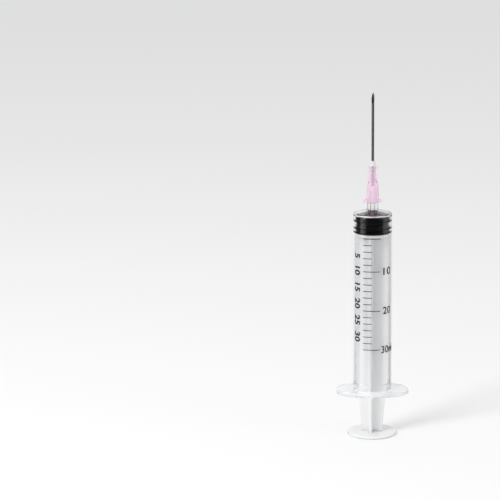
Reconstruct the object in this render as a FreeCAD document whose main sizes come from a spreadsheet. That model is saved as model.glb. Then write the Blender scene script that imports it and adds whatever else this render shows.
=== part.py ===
"""A 30 ml syringe with its needle on, standing on the thumb rest with the plunger pushed home.

Millimetres. The origin is the centre of the thumb rest's underside, +Z runs along the barrel
towards the needle's point, +X along the finger flange, and the scale faces -Y.

Every driving size is a cell of the spreadsheet "Sizes". Each piece is an object of the
document, drawn from its own foot upwards, and its Placement stacks it on the piece below:
rod, stopper, barrel, needle.
"""
import FreeCAD, Part
import math
import os

import Sketcher

SIZES = {
    # barrel
    "barrel_diameter": 24.8,
    "barrel_wall": 1.3,
    "barrel_length": 118.5,
    "shoulder_rise": 2.3,
    "shoulder_thickness": 1.35,
    "rim_chamfer": 0.45,
    "foot_chamfer": 0.8,
    "mouth_chamfer": 0.5,
    # finger flange
    "flange_width": 47.3,
    "flange_depth": 28.3,
    "flange_end_radius": 12.0,
    "flange_thickness": 3.0,
    "flange_chamfer": 0.7,
    # bead inside the mouth that keeps the stopper in
    "bead_height": 6.0,
    "bead_land": 0.8,
    "bead_flank": 0.5,
    "bead_depth": 0.2,
    # nozzle: a round boss, then the six per cent taper
    "boss_diameter": 7.1,
    "boss_length": 4.7,
    "taper_tip_diameter": 3.95,
    "taper_length": 7.5,
    "taper_rate": 0.06,
    "nozzle_bore": 2.4,
    # printed scale
    "mark_thickness": 0.04,
    "mark_height": 0.45,
    "mark_pitch": 4.267,
    "last_mark_height": 31.4,
    "mark_start_angle": -29.3,
    "short_mark_angle": 26.6,
    "long_mark_angle": 52.7,
    # stopper
    "stopper_edge_height": 11.4,
    "stopper_core_diameter": 20.6,
    "stopper_crown_diameter": 21.5,
    "ring_clearance": 0.04,
    "ring_width": 1.7,
    "ring_land": 1.1,
    "low_ring_height": 0.95,
    "middle_ring_height": 3.65,
    "lead_ring_height": 8.2,
    "stopper_blunt_diameter": 3.2,
    "seat_gap": 0.15,
    # snap head of the rod in the stopper
    "rod_play": 0.12,
    "neck_diameter": 8.4,
    "neck_length": 2.6,
    "head_diameter": 12.0,
    "head_length": 3.2,
    "head_tip_diameter": 8.0,
    # plunger rod
    "rod_length": 133.1,
    "rod_width": 20.9,
    "rod_foot_width": 13.0,
    "rod_taper_length": 42.0,
    "rib_thickness": 2.0,
    "rod_turn": -12.0,
    "rod_disc_diameter": 20.9,
    "rod_disc_thickness": 1.5,
    "thumb_rest_diameter": 31.5,
    "thumb_rest_thickness": 1.9,
    "thumb_rest_chamfer": 0.4,
    # needle hub
    "hub_length": 23.2,
    "hub_gap": 0.2,
    "taper_clearance": 0.02,
    "socket_depth": 9.0,
    "socket_funnel": 1.6,
    "hub_mouth_diameter": 8.6,
    "hub_body_diameter": 7.3,
    "hub_body_length": 10.6,
    "hub_neck_diameter": 3.4,
    "hub_neck_height": 17.9,
    "hub_rounding": 1.5,
    "fin_width": 6.5,
    "fin_thickness": 0.9,
    "ear_width": 12.1,
    "ear_depth": 4.6,
    "ear_height": 2.0,
    "ear_lip": 0.6,
    # cannula and its glue
    "cannula_diameter": 1.83,
    "cannula_bore": 1.37,
    "cannula_length": 59.7,
    "cannula_foot_height": 10.3,
    "glue_gap": 0.03,
    "bevel_length": 6.9,
    "lancet_angle": 32.0,
    "lancet_grind": 2.6,
    "bevel_turn": -13.0,
    "glue_height": 3.2,
    "glue_foot_diameter": 4.2,
    "glue_top_diameter": 2.2,
}

# the scale's lines counted from the needle's end: these are the long ones
MARK_COUNT = 18
LONG_MARKS = (0, 5, 11, 17)

# the scale's angles are counted from the front, a quarter turn before the X axis
FRONT_ANGLE = 90.0

doc = FreeCAD.newDocument("Syringe")
sheet = doc.addObject("Spreadsheet::Sheet", "Sizes")
for row, (alias, number) in enumerate(SIZES.items(), start=1):
    sheet.set("A%d" % row, alias.replace("_", " "))
    sheet.set("B%d" % row, str(number))
    sheet.setAlias("B%d" % row, alias)
doc.recompute()


class Size:
    """A number together with the spreadsheet expression that gives it."""

    def __init__(self, value, text):
        self.value = value
        self.text = text

    def combined(self, sign, other, value):
        return Size(value, "(%s %s %s)" % (self.text, sign, other.text))

    def __add__(self, other):
        other = as_size(other)
        return self.combined("+", other, self.value + other.value)

    def __sub__(self, other):
        other = as_size(other)
        return self.combined("-", other, self.value - other.value)

    def __mul__(self, other):
        other = as_size(other)
        return self.combined("*", other, self.value * other.value)

    def __truediv__(self, other):
        other = as_size(other)
        return self.combined("/", other, self.value / other.value)

    def __neg__(self):
        return as_size(0) - self


def as_size(number):
    """A plain number as a Size; a Size stays as it is."""
    if isinstance(number, Size):
        return number
    return Size(float(number), repr(float(number)))


def cell(alias):
    """The Size of one spreadsheet cell."""
    return Size(SIZES[alias], "Sizes." + alias)


def cosine(angle):
    """The cosine of a Size in degrees."""
    return Size(math.cos(math.radians(angle.value)), "cos(%s * 1 deg)" % angle.text)


def bind(thing, name, size):
    """Ties one property or constraint to its expression."""
    thing.setExpression(name, size.text)


def new_body(label):
    """An empty body whose name is its label."""
    body = doc.addObject("PartDesign::Body", label)
    body.Label = label
    return body


def origin_feature(body, role):
    """One plane or axis of the body's own origin."""
    return [feature for feature in body.Origin.OriginFeatures if feature.Role == role][0]


def new_sketch(body, plane, name):
    """A sketch on one of the body's own planes."""
    sketch = body.newObject("Sketcher::SketchObject", name)
    sketch.AttachmentSupport = [(origin_feature(body, plane), "")]
    sketch.MapMode = "FlatFace"
    return sketch


def place_point(sketch, edge, end, spot):
    """Holds one end of a sketch edge at a spot given by two Sizes."""
    for direction, axis, size in (("DistanceX", -2, spot[0]), ("DistanceY", -1, spot[1])):
        if size.value == 0.0:
            sketch.addConstraint(Sketcher.Constraint("PointOnObject", edge, end, axis))
        else:
            index = sketch.addConstraint(
                Sketcher.Constraint(direction, -1, 1, edge, end, size.value))
            bind(sketch, "Constraints[%d]" % index, size)


def draw_outline(sketch, spots):
    """A closed outline of straight sides through the spots."""
    spots = [(as_size(across), as_size(up)) for across, up in spots]
    points = [FreeCAD.Vector(across.value, up.value, 0) for across, up in spots]
    count = len(points)
    for index, start in enumerate(points):
        sketch.addGeometry(Part.LineSegment(start, points[(index + 1) % count]), False)
    for index in range(count):
        following = (index + 1) % count
        sketch.addConstraint(Sketcher.Constraint("Coincident", index, 2, following, 1))
    for index, spot in enumerate(spots):
        place_point(sketch, index, 1, spot)
    doc.recompute()


def turned(body, kind, name, spots):
    """A full turn of an outline about the body's axis: kind is Revolution or Groove."""
    sketch = new_sketch(body, "XZ_Plane", name + "_outline")
    draw_outline(sketch, spots)
    feature = body.newObject("PartDesign::" + kind, name)
    feature.Profile = sketch
    feature.ReferenceAxis = (sketch, ["V_Axis"])
    feature.Angle = 360.0
    doc.recompute()
    return feature


def web(body, name, spots, thickness):
    """A flat web on the XZ plane, half its thickness to each side."""
    sketch = new_sketch(body, "XZ_Plane", name + "_outline")
    draw_outline(sketch, spots)
    pad = body.newObject("PartDesign::Pad", name)
    pad.Profile = sketch
    pad.Midplane = True
    bind(pad, "Length", thickness)
    doc.recompute()
    return pad


def crossed(body, pattern_name, original):
    """The web once more at right angles to itself."""
    pattern = body.newObject("PartDesign::PolarPattern", pattern_name)
    pattern.Originals = [original]
    pattern.Axis = (origin_feature(body, "Z_Axis"), [""])
    pattern.Angle = 90.0
    pattern.Occurrences = 2
    body.Tip = pattern
    doc.recompute()
    return pattern


def turn_about_axis(piece, angle):
    """Turns a piece about the object's axis."""
    small_turn = FreeCAD.Rotation(FreeCAD.Vector(0, 0, 1), 1.0)
    piece.Placement = FreeCAD.Placement(FreeCAD.Vector(), small_turn)
    bind(piece, "Placement.Rotation.Angle", angle)


def soften_edges(body, kind, base, name, size, chosen):
    """Gives the edges of the base that the test picks a Chamfer or a Fillet."""
    names = ["Edge%d" % number for number, edge in enumerate(base.Shape.Edges, start=1)
             if chosen(edge)]
    feature = body.newObject("PartDesign::" + kind, name)
    feature.Base = (base, names)
    bind(feature, "Size" if kind == "Chamfer" else "Radius", size)
    doc.recompute()
    return feature


def circle_at(radius, height):
    """A test that picks the full circles of one radius at one height."""
    def chosen(edge):
        return (isinstance(edge.Curve, Part.Circle)
                and abs(edge.Curve.Radius - radius.value) < 0.001
                and abs(edge.Curve.Center.z - height.value) < 0.001)
    return chosen


# sizes that several pieces share, worked out from the cells
barrel_radius = cell("barrel_diameter") / 2
bore_radius = barrel_radius - cell("barrel_wall")
shoulder_slope = cell("shoulder_rise") / (barrel_radius - cell("boss_diameter") / 2)
inner_corner_height = (cell("barrel_length") + cell("barrel_wall") * shoulder_slope
                       - cell("shoulder_thickness"))
boss_foot_height = cell("barrel_length") + cell("shoulder_rise")
boss_top_height = boss_foot_height + cell("boss_length")
taper_foot_diameter = cell("taper_tip_diameter") + cell("taper_rate") * cell("taper_length")
stopper_foot = cell("rod_length") + cell("rod_play")
barrel_foot = (stopper_foot + cell("stopper_edge_height") + cell("seat_gap")
               - inner_corner_height)
hub_foot = barrel_foot + boss_top_height + cell("hub_gap")


def make_barrel():
    """Moulded in one piece: finger flange, tube, shoulder, nozzle and the bore through all."""
    body = new_body("barrel")

    flange = new_sketch(body, "XY_Plane", "flange_outline")
    half_width = cell("flange_width") / 2
    half_depth = cell("flange_depth") / 2
    end_radius = cell("flange_end_radius")
    reach = half_width - end_radius
    side_radius = ((reach * reach + half_depth * half_depth - end_radius * end_radius)
                   / ((half_depth - end_radius) * 2))
    drop = side_radius - half_depth
    slant = (reach.value ** 2 + drop.value ** 2) ** 0.5
    tangent_x = side_radius.value * reach.value / slant
    tangent_y = side_radius.value * drop.value / slant - drop.value
    corner = [FreeCAD.Vector(x, y, 0) for x, y in
              ((tangent_x, -tangent_y), (tangent_x, tangent_y),
               (-tangent_x, tangent_y), (-tangent_x, -tangent_y))]
    crown = [FreeCAD.Vector(x, y, 0) for x, y in
             ((half_width.value, 0), (0, half_depth.value),
              (-half_width.value, 0), (0, -half_depth.value))]
    for index in range(4):
        arc = Part.Arc(corner[index], crown[index], corner[(index + 1) % 4])
        flange.addGeometry(arc, False)
    for index in range(4):
        following = (index + 1) % 4
        flange.addConstraint(Sketcher.Constraint("Tangent", index, 2, following, 1))
    for index, side in ((0, 1), (2, -1)):
        flange.addConstraint(Sketcher.Constraint("PointOnObject", index, 3, -1))
        tie = flange.addConstraint(
            Sketcher.Constraint("DistanceX", -1, 1, index, 3, side * reach.value))
        bind(flange, "Constraints[%d]" % tie, reach * side)
        tie = flange.addConstraint(Sketcher.Constraint("Radius", index, end_radius.value))
        bind(flange, "Constraints[%d]" % tie, end_radius)
    for index in (1, 3):
        tie = flange.addConstraint(Sketcher.Constraint("Radius", index, side_radius.value))
        bind(flange, "Constraints[%d]" % tie, side_radius)
    doc.recompute()

    plate = body.newObject("PartDesign::Pad", "flange")
    plate.Profile = flange
    bind(plate, "Length", cell("flange_thickness"))
    doc.recompute()
    soften_edges(body, "Chamfer", plate, "flange_edge", cell("flange_chamfer"),
                 lambda edge: isinstance(edge.Curve, Part.Circle))

    foot_top = cell("flange_thickness") + cell("foot_chamfer")
    rim = cell("rim_chamfer")
    turned(body, "Revolution", "outside", [
        (0, 0),
        (barrel_radius, 0),
        (barrel_radius + cell("foot_chamfer"), cell("flange_thickness")),
        (barrel_radius, foot_top),
        (barrel_radius, cell("barrel_length") - rim),
        (barrel_radius - rim, cell("barrel_length") + rim * shoulder_slope),
        (cell("boss_diameter") / 2, boss_foot_height),
        (cell("boss_diameter") / 2, boss_top_height),
        (taper_foot_diameter / 2, boss_top_height),
        (cell("taper_tip_diameter") / 2, boss_top_height + cell("taper_length")),
        (0, boss_top_height + cell("taper_length")),
    ])

    bead_foot = cell("bead_height")
    bead_top = bead_foot + cell("bead_flank") * 2 + cell("bead_land")
    bead_radius = bore_radius - cell("bead_depth")
    nozzle_radius = cell("nozzle_bore") / 2
    turned(body, "Groove", "bore", [
        (0, 0),
        (bore_radius + cell("mouth_chamfer"), 0),
        (bore_radius, cell("mouth_chamfer")),
        (bore_radius, bead_foot),
        (bead_radius, bead_foot + cell("bead_flank")),
        (bead_radius, bead_top - cell("bead_flank")),
        (bore_radius, bead_top),
        (bore_radius, inner_corner_height),
        (nozzle_radius, inner_corner_height + (bore_radius - nozzle_radius) * shoulder_slope),
        (nozzle_radius, boss_top_height + cell("taper_length")),
        (0, boss_top_height + cell("taper_length")),
    ])
    bind(body, "Placement.Base.z", barrel_foot)
    return body


def make_scale_marks():
    """The printed lines as thin bars curved round the barrel, in one group."""
    outer = barrel_radius + cell("mark_thickness")
    bars = []
    for index in range(MARK_COUNT):
        sweep = cell("long_mark_angle" if index in LONG_MARKS else "short_mark_angle")
        steps_up = MARK_COUNT - 1 - index
        height = cell("last_mark_height") + cell("mark_pitch") * steps_up - cell("mark_height") / 2
        solids = []
        for name, radius in (("ink", outer), ("tube", barrel_radius)):
            solid = doc.addObject("Part::Cylinder", "%s_%d" % (name, index))
            bind(solid, "Radius", radius)
            bind(solid, "Height", cell("mark_height"))
            bind(solid, "Angle", sweep)
            bind(solid, "Placement.Base.z", height)
            solids.append(solid)
        bar = doc.addObject("Part::Cut", "bar_%d" % index)
        bar.Base, bar.Tool = solids
        bars.append(bar)
    marks = doc.addObject("Part::Compound", "scale_marks")
    marks.Label = "scale_marks"
    marks.Links = bars
    turn_about_axis(marks, cell("mark_start_angle") - FRONT_ANGLE)
    bind(marks, "Placement.Base.z", barrel_foot)
    return marks


def make_stopper():
    """Rubber stopper: three sealing rings, a cone that fits the shoulder, a cavity for the rod."""
    body = new_body("stopper")
    core = cell("stopper_core_diameter") / 2
    ring_radius = bore_radius - cell("ring_clearance")
    half_ring = cell("ring_width") / 2
    half_land = cell("ring_land") / 2
    blunt = cell("stopper_blunt_diameter") / 2
    edge = cell("stopper_edge_height")
    spots = [(0, 0), (core, 0)]
    for alias in ("low_ring_height", "middle_ring_height", "lead_ring_height"):
        middle = cell(alias)
        spots += [
            (core, middle - half_ring),
            (ring_radius, middle - half_land),
            (ring_radius, middle + half_land),
            (core, middle + half_ring),
        ]
    crown = cell("stopper_crown_diameter") / 2
    spots += [
        (crown, cell("lead_ring_height") + half_ring + (crown - core)),
        (crown, edge + (bore_radius - crown) * shoulder_slope),
        (blunt, edge + (bore_radius - blunt) * shoulder_slope),
        (0, edge + (bore_radius - blunt) * shoulder_slope),
    ]
    turned(body, "Revolution", "outside", spots)

    play = cell("rod_play")
    neck = cell("neck_diameter") / 2 + play
    head = cell("head_diameter") / 2 + play
    tip = cell("head_tip_diameter") / 2 + play
    lip = cell("neck_length") - play * 2
    turned(body, "Groove", "cavity", [
        (0, 0),
        (neck, 0),
        (neck, lip),
        (head, lip),
        (tip, lip + cell("head_length") + play * 2),
        (0, lip + cell("head_length") + play * 2),
    ])
    bind(body, "Placement.Base.z", stopper_foot)
    return body


def make_plunger_rod():
    """Moulded in one piece: thumb rest, two crossed webs, disc and the snap head."""
    body = new_body("plunger_rod")
    rest_radius = cell("thumb_rest_diameter") / 2
    rest_top = cell("thumb_rest_thickness")
    chamfer = cell("thumb_rest_chamfer")
    turned(body, "Revolution", "thumb_rest", [
        (0, 0),
        (rest_radius - chamfer, 0),
        (rest_radius, chamfer),
        (rest_radius, rest_top - chamfer),
        (rest_radius - chamfer, rest_top),
        (0, rest_top),
    ])

    disc_foot = cell("rod_length") - cell("rod_disc_thickness")
    foot = cell("rod_foot_width") / 2
    side = cell("rod_width") / 2
    shoulder = rest_top + cell("rod_taper_length")
    rib = web(body, "rib", [
        (-foot, rest_top),
        (foot, rest_top),
        (side, shoulder),
        (side, disc_foot),
        (-side, disc_foot),
        (-side, shoulder),
    ], cell("rib_thickness"))
    crossed(body, "cross", rib)

    neck_top = cell("rod_length") + cell("neck_length")
    turned(body, "Revolution", "disc_and_head", [
        (0, disc_foot),
        (cell("rod_disc_diameter") / 2, disc_foot),
        (cell("rod_disc_diameter") / 2, cell("rod_length")),
        (cell("neck_diameter") / 2, cell("rod_length")),
        (cell("neck_diameter") / 2, neck_top),
        (cell("head_diameter") / 2, neck_top),
        (cell("head_tip_diameter") / 2, neck_top + cell("head_length")),
        (0, neck_top + cell("head_length")),
    ])
    turn_about_axis(body, cell("rod_turn"))
    return body


def make_needle_hub():
    """Moulded hub: tapered socket, flared body, four fins round the neck and two ears."""
    body = new_body("needle_hub")
    mouth = cell("hub_mouth_diameter") / 2
    waist = cell("hub_body_diameter") / 2
    neck = cell("hub_neck_diameter") / 2
    outside = turned(body, "Revolution", "outside", [
        (0, 0),
        (mouth, 0),
        (waist, cell("hub_body_length")),
        (neck, cell("hub_neck_height")),
        (neck, cell("hub_length")),
        (0, cell("hub_length")),
    ])
    soften_edges(body, "Fillet", outside, "waist_rounding", cell("hub_rounding"),
                 circle_at(waist, cell("hub_body_length")))

    fin = cell("fin_width") / 2
    fin_web = web(body, "fin", [
        (-fin, cell("hub_body_length")),
        (fin, cell("hub_body_length")),
        (fin, cell("hub_length")),
        (-fin, cell("hub_length")),
    ], cell("fin_thickness"))
    crossed(body, "fins", fin_web)

    ear = cell("ear_width") / 2
    web(body, "ears", [
        (-ear, 0),
        (ear, 0),
        (ear, cell("ear_lip")),
        (mouth, cell("ear_height")),
        (-mouth, cell("ear_height")),
        (-ear, cell("ear_lip")),
    ], cell("ear_depth"))

    socket_foot = (taper_foot_diameter / 2 - cell("taper_rate") / 2 * cell("hub_gap")
                   + cell("taper_clearance"))
    socket_end = socket_foot - cell("taper_rate") / 2 * cell("socket_depth")
    hole = cell("cannula_diameter") / 2 + cell("glue_gap")
    funnel_top = cell("socket_depth") + cell("socket_funnel")
    turned(body, "Groove", "socket", [
        (0, 0),
        (socket_foot, 0),
        (socket_end, cell("socket_depth")),
        (hole, funnel_top),
        (hole, cell("hub_length")),
        (0, cell("hub_length")),
    ])
    bind(body, "Placement.Base.z", hub_foot)
    return body


def make_glue():
    """The cone of clear glue round the cannula on top of the hub."""
    body = new_body("glue_cone")
    hole = cell("cannula_diameter") / 2 + cell("glue_gap")
    turned(body, "Revolution", "cone", [
        (hole, 0),
        (cell("glue_foot_diameter") / 2, 0),
        (cell("glue_top_diameter") / 2, cell("glue_height")),
        (hole, cell("glue_height")),
    ])
    bind(body, "Placement.Base.z", hub_foot + cell("hub_length"))
    return body


def make_cannula():
    """Steel tube ground to a long bevel, with two side facets that form the lancet point."""
    body = new_body("cannula")
    radius = cell("cannula_diameter") / 2
    length = cell("cannula_length")
    turned(body, "Revolution", "tube", [
        (cell("cannula_bore") / 2, 0),
        (radius, 0),
        (radius, length),
        (cell("cannula_bore") / 2, length),
    ])
    heel = length - cell("bevel_length")
    above = length + cell("cannula_diameter")
    grind(body, "bevel", None, [
        (-radius, heel),
        (radius, length),
        (radius, above),
        (-radius, above),
    ])
    point = radius * cosine(cell("lancet_angle"))
    foot = point - cell("lancet_grind")
    for name, side in (("left_facet", 1), ("right_facet", -1)):
        grind(body, name, FreeCAD.Vector(0, side, 0), [
            (foot, heel),
            (point, length),
            (point, above),
            (foot, above),
        ])
    turn_about_axis(body, cell("bevel_turn"))
    bind(body, "Placement.Base.z", hub_foot + cell("cannula_foot_height"))
    return body


def grind(body, name, lean, spots):
    """Cuts the tube's end to a slanting plane, turned from the front by the lancet angle."""
    sketch = new_sketch(body, "YZ_Plane", name + "_outline")
    if lean is not None:
        sketch.AttachmentOffset = FreeCAD.Placement(FreeCAD.Vector(), FreeCAD.Rotation(lean, 1.0))
        bind(sketch, "AttachmentOffset.Rotation.Angle", cell("lancet_angle"))
    draw_outline(sketch, spots)
    cut = body.newObject("PartDesign::Pocket", name)
    cut.Profile = sketch
    cut.Midplane = True
    bind(cut, "Length", cell("cannula_diameter") * 2)
    doc.recompute()


pieces = [
    make_barrel(),
    make_scale_marks(),
    make_stopper(),
    make_plunger_rod(),
    make_needle_hub(),
    make_glue(),
    make_cannula(),
]
doc.recompute()

for item in doc.Objects:
    if "Invalid" in item.State or "Error" in item.State:
        raise RuntimeError("%s did not build: %s" % (item.Name, item.State))
for piece in pieces:
    if piece.Shape.isNull() or not piece.Shape.isValid():
        raise RuntimeError("%s has no valid shape" % piece.Label)

os.makedirs("parts", exist_ok=True)
for piece in pieces:
    piece.Shape.exportStep("parts/%s.step" % piece.Label)
    box = piece.Shape.BoundBox
    print("%-12s solids %2d  volume %9.2f  z %7.2f to %7.2f" % (
        piece.Label, len(piece.Shape.Solids), piece.Shape.Volume, box.ZMin, box.ZMax))
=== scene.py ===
"""The visual model of a 30 ml syringe with its needle on, standing on its thumb rest.

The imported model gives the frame, in metres: the origin is the centre of the thumb rest's
underside, +Z runs along the barrel to the needle's point, +X along the finger flange, and the
scale faces -Y. Shapes are written in millimetres, each piece from its own foot upwards, and
made metres when they become a mesh.
"""
import math

import bmesh
import bpy
import numpy as np
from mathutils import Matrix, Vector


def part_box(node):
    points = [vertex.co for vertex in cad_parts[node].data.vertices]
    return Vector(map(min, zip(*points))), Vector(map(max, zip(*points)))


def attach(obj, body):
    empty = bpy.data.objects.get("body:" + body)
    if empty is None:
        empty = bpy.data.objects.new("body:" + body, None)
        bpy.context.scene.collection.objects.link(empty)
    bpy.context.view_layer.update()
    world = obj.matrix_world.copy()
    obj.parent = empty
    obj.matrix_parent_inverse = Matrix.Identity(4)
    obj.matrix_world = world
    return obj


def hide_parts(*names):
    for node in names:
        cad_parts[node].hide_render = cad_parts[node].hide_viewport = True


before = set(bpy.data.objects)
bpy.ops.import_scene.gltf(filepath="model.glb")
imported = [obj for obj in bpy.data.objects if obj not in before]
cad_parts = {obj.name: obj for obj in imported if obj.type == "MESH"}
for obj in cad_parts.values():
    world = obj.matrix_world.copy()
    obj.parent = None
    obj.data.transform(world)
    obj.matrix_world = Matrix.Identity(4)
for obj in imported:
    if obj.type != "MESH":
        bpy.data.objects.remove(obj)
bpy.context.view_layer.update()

MM = 0.001

# how many points go round a turned piece
COLUMNS = 240
FEW_COLUMNS = 96
HEAD_COLUMNS = 160
STOPPER_COLUMNS = 200
HUB_COLUMNS = 480

# sizes in millimetres and degrees, as in the part's source
BARREL_RADIUS = 12.4
BARREL_LENGTH = 118.5
BORE_RADIUS = 11.1
BORE_TOP = 117.488
BEAD_FOOT = 6.0
BEAD_FLANK = 0.5
BEAD_LAND = 0.8
BEAD_DEPTH = 0.2
BOSS_RADIUS = 3.55
SHOULDER_TOP = 120.8
SHOULDER_SLOPE = 2.3 / (BARREL_RADIUS - BOSS_RADIUS)
BOSS_TOP = 125.5
TAPER_TOP = 133.0
TAPER_FOOT_RADIUS = 2.2
TAPER_TIP_RADIUS = 1.975
NOZZLE_BORE_RADIUS = 1.2
FLANGE_REACH = 23.65
FLANGE_THICKNESS = 3.0
LAST_MARK = 31.4
MARK_PITCH = 4.267
THUMB_REST_RADIUS = 15.75
THUMB_REST_THICKNESS = 1.9
ROD_FOOT_REACH = 6.5
ROD_REACH = 10.45
ROD_TAPER_LENGTH = 42.0
ROD_LENGTH = 133.1
ROD_DISC_THICKNESS = 1.5
ROD_TURN = -12.0
CANNULA_RADIUS = 0.915
CANNULA_BORE_RADIUS = 0.685
CANNULA_LENGTH = 59.7
BEVEL_LENGTH = 6.9
BEVEL_TURN = -13.0
LANCET_ANGLE = 32.0
LANCET_GRIND = 2.6

# the printed numbers: ink on the barrel's surface, in millimetres, and flat letters one unit tall
INK_MIDDLE = 0.015
INK_HALF_DEPTH = 0.025
LETTER_DEPTH = 0.01
STRIP_WIDTH = 0.05

# how bright shiny surfaces see the left softbox, the right one, the back and the front
KEY_SEEN = 1.0
FILL_SEEN = 0.6
BACK_SEEN = 0.95
FRONT_SEEN = 0.01

BLACK = (0.0, 0.0, 0.0)
WHITE = (1.0, 1.0, 1.0)


# shapes

def foot_of(node):
    """The height of a node's lowest point, in millimetres."""
    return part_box(node)[0].z / MM


def arc_between(start, finish, centre, steps):
    """Points of a circle's arc: both ends' directions from the centre, blended by their angle."""
    first = start - centre
    last = finish - centre
    cosine = np.dot(first, last) / (np.linalg.norm(first) * np.linalg.norm(last))
    angle = math.acos(max(-1.0, min(1.0, cosine)))
    share = np.linspace(0.0, 1.0, steps)[:, None]
    blend = np.sin((1.0 - share) * angle) * first + np.sin(share * angle) * last
    return centre + blend / math.sin(angle)


def rounded(corners, closed, steps=6, hold=0.12):
    """A profile (radius, height) through corners (radius, height, rounding).

    Each rounded corner becomes an arc tangent to both its sides. A holding point just outside
    each end of the arc keeps the shading of the long sides flat.
    """
    spots = np.array([corner[:2] for corner in corners], float)
    count = len(spots)
    points = []
    for index, corner in enumerate(corners):
        here = spots[index]
        at_end = not closed and index in (0, count - 1)
        if at_end or corner[2] == 0.0:
            points.append(here[None])
            continue
        back = spots[index - 1] - here
        ahead = spots[(index + 1) % count] - here
        back = back / np.linalg.norm(back)
        ahead = ahead / np.linalg.norm(ahead)
        half_turn = math.acos(np.dot(back, ahead)) / 2
        reach = corner[2] / math.tan(half_turn)
        middle = back + ahead
        centre = here + middle / np.linalg.norm(middle) * corner[2] / math.sin(half_turn)
        start = here + back * reach
        finish = here + ahead * reach
        points.append((start + back * hold)[None])
        points.append(arc_between(start, finish, centre, steps))
        points.append((finish + ahead * hold)[None])
    return np.concatenate(points)


def around(columns=COLUMNS):
    """Evenly spaced angles of a full circle."""
    return np.arange(columns) * (2 * math.pi / columns)


def about_axis(radius, height, angle):
    """A grid of points: x = radius cos angle, y = radius sin angle, z = height."""
    points = np.broadcast_arrays(radius * np.cos(angle), radius * np.sin(angle), height)
    return np.stack(points, axis=2)


def turned(profile, columns=COLUMNS):
    """A profile (radius, height) carried round the axis by a full turn."""
    return about_axis(profile[:, 0:1], profile[:, 1:2], around(columns)[None, :])


def swung(grid, degrees):
    """A grid turned about the axis by an angle."""
    turn = math.radians(degrees)
    x, y, z = grid[:, :, 0], grid[:, :, 1], grid[:, :, 2]
    return np.stack([x * math.cos(turn) - y * math.sin(turn),
                     x * math.sin(turn) + y * math.cos(turn), z], axis=2)


def seated(grid, node):
    """A grid lifted from its own foot to the foot of the node that it stands for."""
    return grid + np.array([0.0, 0.0, foot_of(node)])


def soft_largest(first, second, softness):
    """The larger of two values, with a rounded change-over as wide as the softness."""
    return second + softness * np.logaddexp(0.0, (first - second) / softness)


def soft_smallest(first, second, softness):
    """The smaller of two values, with a rounded change-over as wide as the softness."""
    return -soft_largest(-first, -second, softness)


def quads(rows, columns, ring):
    """Faces of a grid whose columns go round; with ring, its last row meets its first."""
    row = np.arange(rows if ring else rows - 1)[:, None]
    column = np.arange(columns)[None, :]
    following_row = (row + 1) % rows
    following = (column + 1) % columns
    corners = [row * columns + column, row * columns + following,
               following_row * columns + following, following_row * columns + column]
    return np.stack(corners, axis=2).reshape(-1, 4)


def end_fans(rows, columns):
    """Triangles from the two centres, numbered after the grid, to its first and last rows."""
    column = np.arange(columns)
    following = (column + 1) % columns
    centre = np.full(columns, rows * columns)
    last = (rows - 1) * columns
    return np.concatenate([np.stack([centre, following, column], axis=1),
                           np.stack([centre + 1, last + column, last + following], axis=1)])


def skin(grid, ring):
    """Points and faces of one closed shell, faces outwards.

    ring: the rows themselves close, as on a tube. Otherwise each end row closes to its centre.
    The faces are turned round where the volume that they enclose comes out negative.
    """
    rows, columns = grid.shape[:2]
    points = grid.reshape(-1, 3)
    squares = quads(rows, columns, ring)
    fans = np.empty((0, 3), int)
    if not ring:
        points = np.concatenate([points, grid[0].mean(axis=0)[None], grid[-1].mean(axis=0)[None]])
        fans = end_fans(rows, columns)
    triangles = np.concatenate([squares[:, [0, 1, 2]], squares[:, [0, 2, 3]], fans])
    first, second, third = (points[triangles[:, corner]] for corner in range(3))
    if np.einsum("ij,ij->", first, np.cross(second, third)) < 0:
        squares = squares[:, ::-1]
        fans = fans[:, ::-1]
    return points, squares.tolist() + fans.tolist()


def new_piece(name, shells, body, material, node, crease=34.0):
    """One object from closed shells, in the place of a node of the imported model.

    It is smooth except at creases sharper than the angle.
    """
    points = []
    faces = []
    for shell_points, shell_faces in shells:
        first = sum(len(part) for part in points)
        points.append(shell_points)
        faces += [[corner + first for corner in face] for face in shell_faces]
    mesh = bpy.data.meshes.new(name)
    mesh.from_pydata((np.concatenate(points) * MM).tolist(), [], faces)
    mesh.shade_smooth()
    mesh.set_sharp_from_angle(angle=math.radians(crease))
    mesh.materials.append(material)
    piece = bpy.data.objects.new(name, mesh)
    bpy.context.collection.objects.link(piece)
    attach(piece, body)
    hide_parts(node)
    return piece


# materials

class Value:
    """A socket that carries a number, with the sums that the materials need."""

    def __init__(self, paint, socket):
        """Keep the paint that adds nodes and the socket that carries the number."""
        self.paint = paint
        self.socket = socket

    def math(self, operation, *others):
        """The result of one Math node on this value and the others."""
        inputs = dict(enumerate((self, *others)))
        made = self.paint.node("ShaderNodeMath", {"operation": operation}, inputs)
        return Value(self.paint, made.outputs[0])

    def __add__(self, other):
        """value + other"""
        return self.math("ADD", other)

    def __sub__(self, other):
        """value - other"""
        return self.math("SUBTRACT", other)

    def __mul__(self, other):
        """value * other"""
        return self.math("MULTIPLY", other)

    def __rsub__(self, other):
        """other - value"""
        return (self * -1.0) + other

    __radd__ = __add__
    __rmul__ = __mul__

    def clipped(self, low, high):
        """The value, mapped so that low gives 0 and high gives 1, and held between them."""
        made = self.paint.node("ShaderNodeMapRange", {"clamp": True},
                               {"Value": self, "From Min": low, "From Max": high})
        return Value(self.paint, made.outputs["Result"])

    def band(self, low, low_full, high_full, high):
        """1 between two soft edges and 0 outside them."""
        return self.clipped(low, low_full) * (1.0 - self.clipped(high_full, high))


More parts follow.
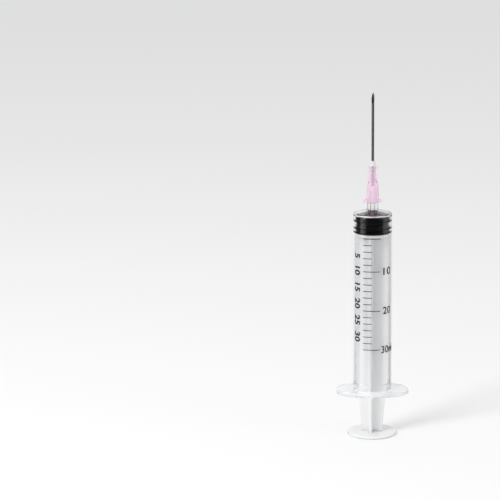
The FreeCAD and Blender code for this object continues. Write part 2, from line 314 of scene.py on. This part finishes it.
class Paint:
    """A material or the world: its node tree and the calls that add to it."""

    def __init__(self, owner):
        """Take the owner's node tree and empty it."""
        owner.use_nodes = True
        self.tree = owner.node_tree
        self.tree.nodes.clear()

    def node(self, kind, settings, inputs):
        """A node with its settings made first and its sockets given values or links."""
        made = self.tree.nodes.new(kind)
        for name, setting in settings.items():
            setattr(made, name, setting)
        for name, given in inputs.items():
            given = given.socket if isinstance(given, Value) else given
            if isinstance(given, bpy.types.NodeSocket):
                self.tree.links.new(given, made.inputs[name])
            else:
                made.inputs[name].default_value = given
        return made

    def object_spot(self):
        """Object coordinates."""
        return self.node("ShaderNodeTexCoord", {}, {}).outputs["Object"]

    def place(self, scale=(1.0, 1.0, 1.0)):
        """Object coordinates, stretched."""
        return self.node("ShaderNodeMapping", {},
                         {"Vector": self.object_spot(), "Scale": scale}).outputs[0]

    def part(self, vector, letter):
        """The X, Y or Z of a vector."""
        parts = self.node("ShaderNodeSeparateXYZ", {}, {0: vector})
        return Value(self, parts.outputs[letter])

    def height(self):
        """Height above the thumb rest's underside, in metres."""
        return self.part(self.place(), "Z")

    def distance_out(self):
        """Distance from the object's axis, in metres."""
        flat = self.node("ShaderNodeVectorMath", {"operation": "MULTIPLY"},
                         {0: self.place(), 1: (1.0, 1.0, 0.0)})
        return self.length(flat.outputs[0])

    def length(self, vector):
        """The length of a vector."""
        made = self.node("ShaderNodeVectorMath", {"operation": "LENGTH"}, {0: vector})
        return Value(self, made.outputs["Value"])

    def noise(self, scale, detail=3.0, stretch=(1.0, 1.0, 1.0)):
        """Fractal noise from 0 to 1 in Object coordinates."""
        made = self.node("ShaderNodeTexNoise", {},
                         {"Vector": self.place(stretch), "Scale": scale, "Detail": detail})
        return Value(self, made.outputs["Fac"])

    def mixed(self, share, first, second):
        """One colour blended into another by a share from 0 to 1."""
        made = self.node("ShaderNodeMix", {"data_type": "RGBA"},
                         {"Factor": share, 6: (*first, 1.0), 7: (*second, 1.0)})
        return made.outputs[2]

    def bump(self, height, strength, distance):
        """A normal from a height."""
        made = self.node("ShaderNodeBump", {},
                         {"Height": height, "Strength": strength, "Distance": distance})
        return made.outputs["Normal"]

    def layered(self, share, first, second):
        """One shader laid over another by a share from 0 to 1."""
        return self.node("ShaderNodeMixShader", {},
                         {0: share, 1: first.outputs[0], 2: second.outputs[0]})

    def rays(self):
        """Shares of the rays that see the background directly, and that see it mirrored.

        Both count only before a ray has met a matt surface. Clear plastic in the way makes no
        difference to them.
        """
        path = self.node("ShaderNodeLightPath", {}, {})
        direct = 1.0 - Value(self, path.outputs["Diffuse Depth"]).clipped(0.0, 1.0)
        mirrored = Value(self, path.outputs["Glossy Depth"]).clipped(0.0, 1.0) * direct
        return direct - mirrored, mirrored

    def lets_light_in(self, shader, tint):
        """The shader for the eye, and a plain tint for light on its way to what lies behind."""
        path = self.node("ShaderNodeLightPath", {}, {})
        lighting = Value(self, path.outputs["Is Shadow Ray"]).math(
            "MAXIMUM", Value(self, path.outputs["Is Diffuse Ray"]))
        clear = self.node("ShaderNodeBsdfTransparent", {}, {"Color": (*tint, 1.0)})
        return self.layered(lighting, shader, clear)

    def output(self, surface, volume=None):
        """The tree's end."""
        ends = {"Surface": surface.outputs[0]}
        if volume is not None:
            ends["Volume"] = volume.outputs[0]
        self.node("ShaderNodeOutputMaterial", {}, ends)


def new_material(name):
    """An empty material and the paint for it."""
    material = bpy.data.materials.new(name)
    return material, Paint(material)


def clear_polypropylene():
    """Clear plastic with faint flow marks, a milky flange, and painted shade where its walls are
    seen edge on.

    The painted shade darkens the base colour as the slant at which the surface is seen grows,
    standing in for the dark outlines that refraction and reflection give clear walls. It is full
    above the shoulder, a tenth below it, and fades inside the radius of the nozzle's taper.
    """
    material, paint = new_material("clear_polypropylene")
    flow = paint.noise(90.0, 3.0, (1.0, 1.0, 0.12))
    slant = Value(paint, paint.node("ShaderNodeLayerWeight", {}, {"Blend": 0.5}).outputs["Facing"])
    nozzle_foot = (foot_of("barrel") + SHOULDER_TOP) * MM
    nozzle = paint.height().clipped(nozzle_foot, nozzle_foot + 0.0003)
    # painted shade: the base colour turns dark grey where the wall is seen edge on
    painted_edge_shade = slant.clipped(0.40, 0.62) * paint.distance_out().clipped(0.0021, 0.0026)
    painted_edge_shade = painted_edge_shade * (nozzle * 0.9 + 0.1)
    flange_top = (foot_of("barrel") + FLANGE_THICKNESS) * MM
    frost = 1.0 - paint.height().clipped(flange_top + 0.0002, flange_top + 0.001)
    shell = paint.node("ShaderNodeBsdfPrincipled", {}, {
        "Base Color": paint.mixed(painted_edge_shade, (0.995, 0.995, 0.998), (0.30, 0.305, 0.31)),
        "Roughness": flow * 0.02 + 0.01 + frost * 0.16,
        "IOR": 1.49,
        "Transmission Weight": 1.0,
        "Normal": paint.bump(flow, 0.05, 0.0002),
    })
    milk = paint.node("ShaderNodeBsdfPrincipled", {}, {
        "Base Color": (0.94, 0.945, 0.955, 1.0),
        "Roughness": flow * 0.1 + 0.25,
        "IOR": 1.49,
        "Transmission Weight": 0.4,
        "Normal": paint.bump(flow, 0.05, 0.0002),
    })
    both = paint.layered(frost * 0.6, shell, milk)
    paint.output(paint.lets_light_in(both, (0.98, 0.982, 0.984)))
    return material


def white_polypropylene():
    """Translucent white plastic with painted shade in its colour: darker towards the stopper,
    where the stopper and the rod's disc shade the webs; light spreads in it.
    """
    material, paint = new_material("white_polypropylene")
    colour_blend = paint.noise(160.0, 4.0, (1.0, 1.0, 0.3)) * 0.3
    # painted shade: the colour darkens with height from 45 mm up to the stopper; the noise above
    # is the plastic's own uneven tone
    colour_blend = colour_blend + paint.height().clipped(0.045, 0.132) * 0.7
    grain = paint.noise(2600.0, 2.0)
    shell = paint.node("ShaderNodeBsdfPrincipled", {}, {
        "Base Color": paint.mixed(colour_blend, (0.865, 0.868, 0.872), (0.735, 0.74, 0.75)),
        "Roughness": colour_blend * 0.06 + 0.1,
        "IOR": 1.49,
        "Subsurface Weight": 0.35,
        "Subsurface Radius": (0.003, 0.003, 0.003),
        "Subsurface Scale": 1.0,
        "Normal": paint.bump(grain, 0.06, 0.0001),
    })
    paint.output(shell)
    return material


def black_rubber():
    """Smooth black rubber with a film of silicone oil."""
    material, paint = new_material("black_rubber")
    film = paint.noise(220.0, 3.0)
    grain = paint.noise(3200.0, 2.0)
    shell = paint.node("ShaderNodeBsdfPrincipled", {}, {
        "Base Color": paint.mixed(film, (0.0025, 0.0027, 0.003), (0.006, 0.0063, 0.0067)),
        "Roughness": film * 0.14 + 0.3,
        "IOR": 1.5,
        "Specular IOR Level": 0.2,
        "Normal": paint.bump(grain, 0.08, 0.0001),
    })
    paint.output(shell)
    return material


def black_ink():
    """Printed ink, a little thinner in places."""
    material, paint = new_material("black_ink")
    cover = paint.noise(1800.0, 3.0)
    shell = paint.node("ShaderNodeBsdfPrincipled", {}, {
        "Base Color": paint.mixed(cover, (0.002, 0.002, 0.0025), (0.016, 0.016, 0.018)),
        "Roughness": cover * 0.2 + 0.4,
        "Specular IOR Level": 0.15,
    })
    paint.output(shell)
    return material


def pink_polypropylene():
    """Translucent pink plastic: pale where it is thin, stronger along its edges."""
    material, paint = new_material("pink_polypropylene")
    colour_blend = paint.noise(300.0, 3.0)
    shell = paint.node("ShaderNodeBsdfPrincipled", {}, {
        "Base Color": paint.mixed(colour_blend, (0.975, 0.87, 0.95), (0.99, 0.92, 0.98)),
        "Roughness": colour_blend * 0.1 + 0.1,
        "IOR": 1.49,
        "Transmission Weight": 0.74,
        "Normal": paint.bump(colour_blend, 0.04, 0.0002),
    })
    depth = paint.node("ShaderNodeVolumeAbsorption", {},
                       {"Color": (0.96, 0.40, 0.76, 1.0), "Density": 75.0})
    paint.output(paint.lets_light_in(shell, (0.97, 0.93, 0.95)), depth)
    return material


def cured_glue():
    """Whitish cured glue with tiny bubbles."""
    material, paint = new_material("cured_glue")
    bubbles = paint.noise(1500.0, 2.0)
    shell = paint.node("ShaderNodeBsdfPrincipled", {}, {
        "Base Color": paint.mixed(bubbles, (0.90, 0.89, 0.90), (0.96, 0.96, 0.97)),
        "Roughness": bubbles * 0.2 + 0.12,
        "IOR": 1.5,
        "Transmission Weight": 0.3,
        "Normal": paint.bump(bubbles, 0.1, 0.0001),
    })
    paint.output(shell)
    return material


def drawn_steel():
    """Stainless tube with the fine lines of its drawing along it."""
    material, paint = new_material("drawn_steel")
    lines = paint.noise(5200.0, 2.0, (1.0, 1.0, 0.012))
    shell = paint.node("ShaderNodeBsdfPrincipled", {}, {
        "Base Color": paint.mixed(lines, (0.46, 0.46, 0.47), (0.54, 0.54, 0.55)),
        "Metallic": 1.0,
        "Roughness": lines * 0.08 + 0.15,
        "Normal": paint.bump(lines, 0.03, 0.00003),
    })
    paint.output(shell)
    return material


# pieces

def flange_edge(angle):
    """The finger flange's outline as a radius for each angle.

    Two end circles of radius 12 whose centres stand 11.65 out, joined by long side arcs of
    radius 44.63 about centres 30.48 behind the axis; each angle meets one of them.
    """
    across = np.abs(np.cos(angle))
    along = np.abs(np.sin(angle))
    end_centre, end_radius = 11.65, 12.0
    side_centre, side_radius = 30.4826, 44.6326
    meeting_angle = math.radians(35.13)
    end = end_centre * across + np.sqrt(end_radius ** 2 - (end_centre * along) ** 2)
    side = np.sqrt(side_radius ** 2 - (side_centre * across) ** 2) - side_centre * along
    return np.where(np.arctan2(along, across) < meeting_angle, end, side)


def barrel_piece(material):
    """The barrel, one shell: its profile runs down the outside, round the flange and up the bore.

    Radii up to the inner one turn round the axis as they are. The flange's rounded rim keeps its
    distance from the flange's outline, and its faces are stretched between the two.
    """
    rounding = 0.8
    bead_radius = BORE_RADIUS - BEAD_DEPTH
    land_foot = BEAD_FOOT + BEAD_FLANK
    land_top = land_foot + BEAD_LAND
    mouth_chamfer = 0.5
    profile = rounded([
        (FLANGE_REACH, 0.0, rounding),
        (FLANGE_REACH, FLANGE_THICKNESS, rounding),
        (BARREL_RADIUS, FLANGE_THICKNESS, 0.7),
        (BARREL_RADIUS, BARREL_LENGTH, 1.0),
        (BOSS_RADIUS, SHOULDER_TOP, 0.25),
        (BOSS_RADIUS, BOSS_TOP, 0.2),
        (TAPER_FOOT_RADIUS, BOSS_TOP, 0.1),
        (TAPER_TIP_RADIUS, TAPER_TOP, 0.1),
        (NOZZLE_BORE_RADIUS, TAPER_TOP, 0.1),
        (NOZZLE_BORE_RADIUS,
         BORE_TOP + (BORE_RADIUS - NOZZLE_BORE_RADIUS) * SHOULDER_SLOPE, 0.15),
        (BORE_RADIUS, BORE_TOP, 1.3),
        (BORE_RADIUS, land_top + BEAD_FLANK, 0.2),
        (bead_radius, land_top, 0.2),
        (bead_radius, land_foot, 0.2),
        (BORE_RADIUS, BEAD_FOOT, 0.2),
        (BORE_RADIUS, mouth_chamfer, 0.1),
        (BORE_RADIUS + mouth_chamfer, 0.0, 0.1),
    ], closed=True, steps=7, hold=0.1)
    inner = 13.2
    rim_start = FLANGE_REACH - rounding
    angle = around()[None, :]
    outline = flange_edge(angle)
    radius = profile[:, 0:1]
    share = (radius - inner) / (rim_start - inner)
    stretched = inner + share * (outline - rounding - inner)
    kept = outline - (FLANGE_REACH - radius)
    shaped = np.where(radius <= inner, radius, np.where(radius < rim_start, stretched, kept))
    grid = seated(about_axis(shaped, profile[:, 1:2], angle), "barrel")
    return new_piece("barrel_shell", [skin(grid, ring=True)], "barrel", material,
                     "barrel")


def stopper_piece(material):
    """The rubber stopper, one shell from its cavity's roof round the rings to its blunt nose.

    The rings press into the barrel's wall by two hundredths, as the real ones do.
    """
    core, ring, crown = 10.3, BORE_RADIUS + 0.02, 10.75
    neck, head, head_tip = 4.32, 6.12, 4.12
    neck_top, cavity_roof = 2.36, 5.68
    edge_height, blunt = 11.4, 1.6
    blunt_height = edge_height + (BORE_RADIUS - blunt) * SHOULDER_SLOPE
    corners = [(0.0, cavity_roof, 0.0), (head_tip, cavity_roof, 0.0), (head, neck_top, 0.0),
               (neck, neck_top, 0.1), (neck, 0.0, 0.1), (core, 0.0, 0.0)]
    for middle in (0.95, 3.65, 8.2):
        corners += [(core, middle - 0.85, 0.0), (ring, middle - 0.6, 0.2),
                    (ring, middle + 0.6, 0.2), (core, middle + 0.9, 0.15)]
    corners += [
        (crown, 9.6, 0.1),
        (crown, edge_height + (BORE_RADIUS - crown) * SHOULDER_SLOPE, 0.7),
        (blunt, blunt_height, 0.6),
        (0.0, blunt_height, 0.0),
    ]
    profile = rounded(corners, closed=False, steps=7, hold=0.02)
    grid = seated(turned(profile[1:-1], STOPPER_COLUMNS), "stopper")
    return new_piece("rubber_stopper", [skin(grid, ring=False)], "stopper",
                     material, "stopper")


def crossed_webs(reach, height, half, rounding):
    """Two crossed webs as one outline: four arms, each a flat side, a rounded tip, a flat side.

    reach and height are columns, one value for each row of the grid. The tip's two quarter
    circles are mirror images, and a holding point near each end of a side keeps it flat.
    """
    turn = np.radians(np.linspace(90.0, 0.0, 5))
    tip_out = -rounding + rounding * np.cos(turn)
    tip_side = -half + rounding - rounding * np.sin(turn)
    tip = reach + np.concatenate([tip_out, tip_out[::-1]])[None, :]
    near_root = half + (reach - half) * 0.04
    near_tip = half + (reach - half) * 0.96
    flat = np.full_like(reach, half)
    out = np.concatenate([near_root, near_tip, tip, near_tip, near_root, flat], axis=1)
    tip = np.concatenate([tip_side, -tip_side[::-1]])[None, :] + 0.0 * reach
    side = np.concatenate([-flat, -flat, tip, flat, flat, flat], axis=1)
    arm = np.stack([out, side, height + 0.0 * out], axis=2)
    return np.concatenate([swung(arm, 90.0 * quarter) for quarter in range(4)], axis=1)


def rod_piece(material):
    """The plunger rod: thumb rest, crossed webs that widen upwards, disc and snap head.

    The webs' reach grows evenly over the taper and is then constant, with a soft change-over,
    and their foot is a quarter of a millimetre wider, as a moulded corner is.
    """
    rest_top = THUMB_REST_THICKNESS
    rest = rounded([(0.0, 0.0, 0.0), (THUMB_REST_RADIUS, 0.0, 0.95),
                    (THUMB_REST_RADIUS, rest_top, 0.6), (6.0, rest_top, 0.0), (0.0, 1.95, 0.0)],
                   closed=False, steps=7)
    height = np.concatenate([[1.7, 1.9, 2.0, 2.3], np.linspace(4.0, 41.5, 16),
                             [42.6, 43.2, 43.9, 44.6, 45.4, 46.5], np.linspace(50.0, 131.0, 18),
                             [131.55]])[:, None]
    above_rest = height - rest_top
    widening = ROD_FOOT_REACH + (ROD_REACH - ROD_FOOT_REACH) * above_rest / ROD_TAPER_LENGTH
    reach = soft_smallest(widening, ROD_REACH, 1.0 / 6.0)
    reach += 0.25 * np.clip(1.0 - above_rest / 0.4, 0.0, 1.0)
    webs = swung(crossed_webs(reach, height, half=1.0, rounding=0.3), ROD_TURN)
    disc_foot = ROD_LENGTH - ROD_DISC_THICKNESS
    neck, head, head_tip = 4.2, 6.0, 4.0
    neck_top, head_top = 135.7, 138.9
    top = rounded([(0.0, disc_foot, 0.0), (ROD_REACH, disc_foot, 0.2),
                   (ROD_REACH, ROD_LENGTH, 0.2), (neck, ROD_LENGTH, 0.15), (neck, neck_top, 0.1),
                   (head, neck_top, 0.15), (head_tip, head_top, 0.3), (0.0, head_top, 0.0)],
                  closed=False, steps=5, hold=0.05)
    shells = [skin(turned(rest[1:-1]), ring=False), skin(webs, ring=False),
              skin(turned(top[1:-1], HEAD_COLUMNS), ring=False)]
    return new_piece("plunger_rod_body", shells, "plunger", material,
                     "plunger_rod")


def hub_piece(material):
    """The needle hub, one shell: a turned body out of which four fins and two ears stand.

    For each angle and height the outside is the largest of the body's radius, the fins'
    crossed outline and the ears' outline.
    """
    angle = around(HUB_COLUMNS)[None, :]
    height = np.concatenate([[0.0, 0.08, 0.2, 0.6], np.linspace(0.75, 1.95, 12),
                             [2.0, 2.05, 2.15], np.linspace(2.6, 10.2, 14),
                             np.linspace(10.4, 11.3, 10), np.linspace(11.6, 22.7, 44),
                             [22.95, 23.1, 23.2]])[:, None]
    across = np.abs(np.cos(angle)) + 1e-9
    along = np.abs(np.sin(angle)) + 1e-9
    body = np.interp(height, [0.0, 0.1, 10.0, 10.6, 11.2, 17.9, 23.2],
                     [4.25, 4.3, 3.69, 3.64, 3.45, 1.7, 1.7])
    fin_half, fin_reach, fin_foot = 0.45, 3.25, 10.4
    fins = np.maximum(np.minimum(fin_reach / across, fin_half / along),
                      np.minimum(fin_reach / along, fin_half / across))
    fins = fins * np.clip((height - fin_foot) / 0.5, 0.0, 1.0)
    past_rounding = np.clip((height - 22.8) / 0.4, 0.0, 1.0)
    top_round = np.sqrt(np.clip(1.0 - past_rounding ** 2, 0.0, 1.0))
    inner_reach = 2.9
    drawn_in = inner_reach + (fins - inner_reach) * (0.3 + 0.7 * top_round)
    fins = np.where(fins > inner_reach, drawn_in, fins)
    outside = soft_largest(body + 0.0 * angle, fins, 0.06)
    ear_reach = np.interp(height, [0.0, 0.08, 0.6, 2.0, 2.15], [5.95, 6.05, 6.05, 4.2, 0.0])
    ear_half = 2.3
    outside = soft_largest(outside, np.minimum(ear_reach / across, ear_half / along), 0.05)
    bore = np.array([(0.945, 23.2), (0.945, 23.1), (0.945, 10.7), (0.95, 10.6), (1.94, 9.05),
                     (1.945, 8.95), (2.2, 0.1), (2.25, 0.0)])
    grid = np.concatenate([about_axis(outside, height, angle), turned(bore, HUB_COLUMNS)])
    return new_piece("needle_hub_body", [skin(seated(grid, "needle_hub"), ring=True)], "needle",
                     material, "needle_hub")


def glue_piece(material):
    """The glue: a drop's profile turned round the cannula."""
    inside, height = 0.93, 3.2
    profile = rounded([(inside, 0.0, 0.0), (2.1, 0.0, 0.15), (1.75, 1.3, 0.9), (1.1, height, 0.1),
                       (inside, height, 0.0)], closed=True, steps=6, hold=0.02)
    grid = seated(turned(profile, FEW_COLUMNS), "glue_cone")
    return new_piece("glue_drop", [skin(grid, ring=True)], "needle", material,
                     "glue_cone")


def ground_end(radius, angle):
    """The height of the cannula's upper end over a point of its wall.

    It is the least of the long bevel, which rises from the heel to the tip, and the two steeper
    facets turned to its left and right.
    """
    x = radius * np.cos(angle)
    y = radius * np.sin(angle)
    bevel = CANNULA_LENGTH - BEVEL_LENGTH + (y + CANNULA_RADIUS) * BEVEL_LENGTH / (
        2 * CANNULA_RADIUS)
    lean = math.radians(LANCET_ANGLE)
    point = CANNULA_RADIUS * math.cos(lean)
    left, right = (CANNULA_LENGTH + (y * math.cos(lean) + side * x * math.sin(lean) - point)
                   * BEVEL_LENGTH / LANCET_GRIND for side in (1.0, -1.0))
    return np.minimum(bevel, np.minimum(left, right))


def cannula_piece(material):
    """The cannula: a tube whose outer and inner walls both rise from 0 to its ground end."""
    angle = around()[None, :]
    share = np.concatenate([[0.0, 0.001], np.linspace(0.1, 0.9, 9), [0.99, 0.999, 1.0]])[:, None]
    walls = [about_axis(radius, ground_end(radius, angle) * shares, angle)
             for radius, shares in ((CANNULA_RADIUS, share), (CANNULA_BORE_RADIUS, share[::-1]))]
    grid = seated(swung(np.concatenate(walls), BEVEL_TURN), "cannula")
    return new_piece("steel_cannula", [skin(grid, ring=True)], "needle", material,
                     "cannula", crease=20.0)


# printed numbers

def mesh_points(mesh):
    """A mesh's points as an array."""
    points = np.empty(len(mesh.vertices) * 3)
    mesh.vertices.foreach_get("co", points)
    return points.reshape(-1, 3)


def flat_numbers(name, words, weight, along):
    """Flat letters one unit tall as a mesh, cut into narrow strips across one of their axes."""
    letters = bpy.data.curves.new(name, "FONT")
    letters.body = words
    letters.size = 1.0
    letters.extrude = LETTER_DEPTH
    letters.offset = weight
    letters.resolution_u = 6
    letters.space_character = 1.02
    flat = bpy.data.objects.new(name, letters)
    bpy.context.collection.objects.link(flat)
    bpy.context.view_layer.update()
    mesh = bpy.data.meshes.new_from_object(flat)
    bpy.data.objects.remove(flat)
    spots = mesh_points(mesh)[:, along]
    normal = np.eye(3)[along]
    shape = bmesh.new()
    shape.from_mesh(mesh)
    bmesh.ops.remove_doubles(shape, verts=shape.verts, dist=1e-5)
    for cut in np.arange(spots.min() + STRIP_WIDTH, spots.max(), STRIP_WIDTH):
        bmesh.ops.bisect_plane(shape, geom=shape.verts[:] + shape.edges[:] + shape.faces[:],
                               plane_co=normal * cut, plane_no=normal)
    bmesh.ops.triangulate(shape, faces=shape.faces[:])
    bmesh.ops.recalc_face_normals(shape, faces=shape.faces[:])
    shape.to_mesh(mesh)
    shape.free()
    return mesh


def printed_numbers(name, words, material, weight, height, start_angle, sweep, middle,
                    upright=True):
    """Numbers printed on the barrel, as thin solids bent round it.

    Upright numbers: x becomes an angle from the front, over a sweep in degrees, and y a height
    about the middle. Lying numbers read downwards: y becomes the angle, and x runs down the
    barrel over a sweep in millimetres. The letters' own thickness stands off the barrel.
    """
    mesh = flat_numbers(name, words, weight, along=0 if upright else 1)
    points = mesh_points(mesh)
    low, high = points.min(axis=0), points.max(axis=0)
    x, y = ((points - low) / (high - low))[:, :2].T
    radius = BARREL_RADIUS + INK_MIDDLE + INK_HALF_DEPTH * points[:, 2] / LETTER_DEPTH
    if upright:
        angle = math.radians(start_angle) + x * math.radians(sweep)
        z = middle + (y - 0.5) * height
    else:
        angle = math.radians(start_angle) + y * height / BARREL_RADIUS
        z = middle + (0.5 - x) * sweep
    bent = np.stack([radius * np.sin(angle), -radius * np.cos(angle), z], axis=1) * MM
    mesh.vertices.foreach_set("co", bent.ravel())
    mesh.update()
    mesh.materials.clear()
    mesh.materials.append(material)
    piece = bpy.data.objects.new(name, mesh)
    bpy.context.collection.objects.link(piece)
    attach(piece, "barrel")
    return piece


def scale_numbers(ink):
    """The scale's numbers right of their long lines, and a lying row of them on its left."""
    for words, gaps_up, start_angle, sweep in (("10", 12, 32.8, 31.6), ("20", 6, 32.2, 31.6),
                                               ("30ml", 0, 27.0, 55.0)):
        middle = foot_of("barrel") + LAST_MARK + MARK_PITCH * gaps_up
        printed_numbers("number_" + words, words, ink, weight=0.014, height=4.85,
                        start_angle=start_angle, sweep=sweep, middle=middle)
    printed_numbers("row_of_numbers", "5  10  15  20  25  30", ink, weight=0.03, height=5.0,
                    start_angle=-63.4, sweep=57.9, middle=foot_of("barrel") + 65.0,
                    upright=False)


# floor, light and camera

def studio_seen(paint, spot):
    """What a shiny surface sees of the studio in one direction, as a grey.

    The angle about the object's axis, 0 in front and positive to the right, meets a bright
    softbox on the left, a wider and weaker one on the right, a dark front and a white back,
    which is a fifth weaker on its right side.
    """
    angle = paint.part(spot, "X").math("ARCTAN2", paint.part(spot, "Y") * -1.0)
    angle = angle * (180.0 / math.pi)
    left = angle.band(-82.0, -78.0, -62.0, -38.0)
    right = angle.band(62.0, 70.0, 104.0, 112.0)
    behind = angle.math("ABSOLUTE").clipped(110.0, 150.0)
    behind = behind * (1.0 - angle.clipped(90.0, 120.0) * 0.2)
    seen = left * KEY_SEEN + right * FILL_SEEN + behind * BACK_SEEN + FRONT_SEEN
    return paint.mixed(seen, BLACK, WHITE)


def stage_floor():
    """A pale round floor far wider than the object; it keeps the object's shadow.

    What is seen directly or through clear plastic is lifted towards white. Shiny surfaces see
    the studio mirrored in it, as in a polished table.
    """
    material, paint = new_material("pale_floor")
    seen, mirrored = paint.rays()
    spot = paint.object_spot()
    far = paint.length(spot).clipped(0.1, 1.2)
    matt = paint.node("ShaderNodeBsdfDiffuse", {}, {"Color": (0.93, 0.93, 0.935, 1.0)})
    glow = paint.node("ShaderNodeEmission", {}, {
        "Color": paint.mixed(far, (0.97, 0.97, 0.975), (0.86, 0.865, 0.875)), "Strength": 1.0})
    studio = paint.node("ShaderNodeEmission", {},
                        {"Color": studio_seen(paint, spot), "Strength": 1.0})
    lifted = paint.layered(seen * 0.2, matt, glow)
    paint.output(paint.layered(mirrored, lifted, studio))
    rim = about_axis(6.0, 0.0, around(FEW_COLUMNS)[None, :])[0]
    mesh = bpy.data.meshes.new("floor")
    mesh.from_pydata(rim.tolist(), [], [list(range(FEW_COLUMNS))])
    mesh.materials.append(material)
    floor = bpy.data.objects.new("floor", mesh)
    bpy.context.collection.objects.link(floor)
    # the thumb rest stands on the floor, which therefore stays under it when the rod is drawn
    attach(floor, "stopper")


def studio_world():
    """Soft white light, weaker from the front; shiny surfaces see the studio instead."""
    world = bpy.data.worlds.new("studio")
    bpy.context.scene.world = world
    paint = Paint(world)
    seen, mirrored = paint.rays()
    spot = paint.node("ShaderNodeTexCoord", {}, {}).outputs["Generated"]
    up = paint.part(spot, "Z").clipped(0.0, 0.8)
    back = paint.part(spot, "Y").clipped(-0.2, 0.7)
    even = paint.mixed(up * 0.17 + back * 0.15 + 0.54, BLACK, WHITE)
    plain = paint.node("ShaderNodeBackground", {}, {"Color": even, "Strength": 1.0})
    wall = paint.node("ShaderNodeBackground", {},
                      {"Color": (0.86, 0.865, 0.875, 1.0), "Strength": 1.0})
    studio = paint.node("ShaderNodeBackground", {},
                        {"Color": studio_seen(paint, spot), "Strength": 1.0})
    both = paint.layered(seen, paint.layered(mirrored, plain, studio), wall)
    paint.node("ShaderNodeOutputWorld", {}, {"Surface": both.outputs[0]})


def softbox(name, azimuth, distance, middle, size, power):
    """A rectangular lamp that faces the object, for matt surfaces only.

    azimuth is counted from the front, positive to the right. The lamp stands at that angle and
    distance from the axis, its middle at a height, and tilts down to the object's own middle.
    """
    object_middle = 0.11
    lamp = bpy.data.lights.new(name, "AREA")
    lamp.shape = "RECTANGLE"
    lamp.size, lamp.size_y = size
    lamp.energy = power
    holder = bpy.data.objects.new(name, lamp)
    bpy.context.collection.objects.link(holder)
    turn = math.radians(azimuth)
    tilt = math.atan2(middle - object_middle, distance)
    holder.location = (distance * math.sin(turn), -distance * math.cos(turn), middle)
    holder.rotation_euler = (math.radians(90.0) - tilt, 0.0, turn)
    holder.visible_camera = False
    holder.visible_glossy = False


def photo_camera():
    """The camera at the photograph's viewing angle, from the front and 11.9 degrees down."""
    lens = bpy.data.cameras.new("photo_camera")
    lens.sensor_width = 36.0
    lens.lens = 154.37
    lens.shift_x = -0.184
    lens.clip_start = 0.05
    lens.clip_end = 30.0
    camera = bpy.data.objects.new("photo_camera", lens)
    camera.location = (-0.0195, -1.3412, 0.4043)
    degrees_down = 11.9
    camera.rotation_euler = (math.radians(90.0 - degrees_down), 0.0, 0.0)
    bpy.context.collection.objects.link(camera)
    bpy.context.scene.camera = camera
    bpy.context.scene.view_settings.view_transform = "Standard"


ink = black_ink()
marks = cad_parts["scale_marks"]
marks.data.materials.clear()
marks.data.materials.append(ink)

barrel_piece(clear_polypropylene())
stopper_piece(black_rubber())
rod_piece(white_polypropylene())
hub_piece(pink_polypropylene())
glue_piece(cured_glue())
cannula_piece(drawn_steel())
scale_numbers(ink)

stage_floor()
studio_world()
softbox("key_softbox", azimuth=-48.0, distance=1.35, middle=1.2, size=(0.6, 0.6), power=14.0)
softbox("fill_softbox", azimuth=58.0, distance=1.6, middle=0.5, size=(1.1, 1.2), power=4.0)
photo_camera()
